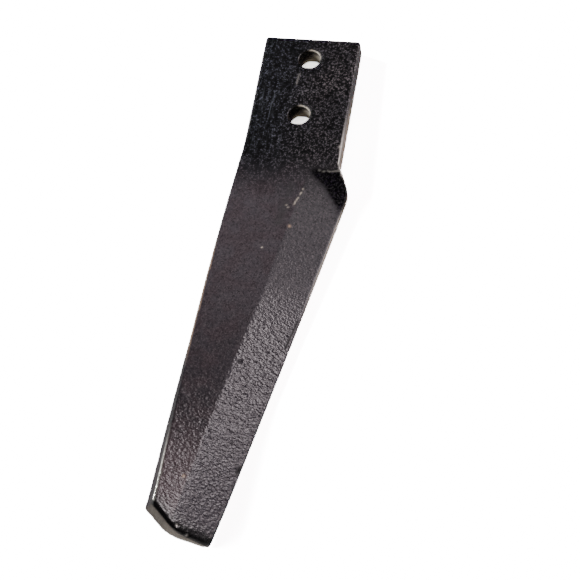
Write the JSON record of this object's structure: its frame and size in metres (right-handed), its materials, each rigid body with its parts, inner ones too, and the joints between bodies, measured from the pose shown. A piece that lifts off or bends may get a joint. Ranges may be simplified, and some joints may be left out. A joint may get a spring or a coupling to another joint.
{
  "type": "power harrow tine",
  "caption": "Forged blade for a power harrow rotor: a flat bolted shank runs into a twisted, tapered blade with a ridge and a thin cutting wing along one side.",
  "frame": {"origin": "on the back face of the shank that bolts to the rotor, midway between the bolt holes", "axes": "+Z along the bolt holes, out of the front face; +Y along the shank towards its top end; +X across the shank towards the wing"},
  "size_m": [0.0792, 0.3345, 0.0323],
  "materials": {
    "tine": "thin black paint, semi-gloss, over a coarse forged surface"
  },
  "bodies": {
    "root": {"tine": "tine"}
  },
  "joints": []
}
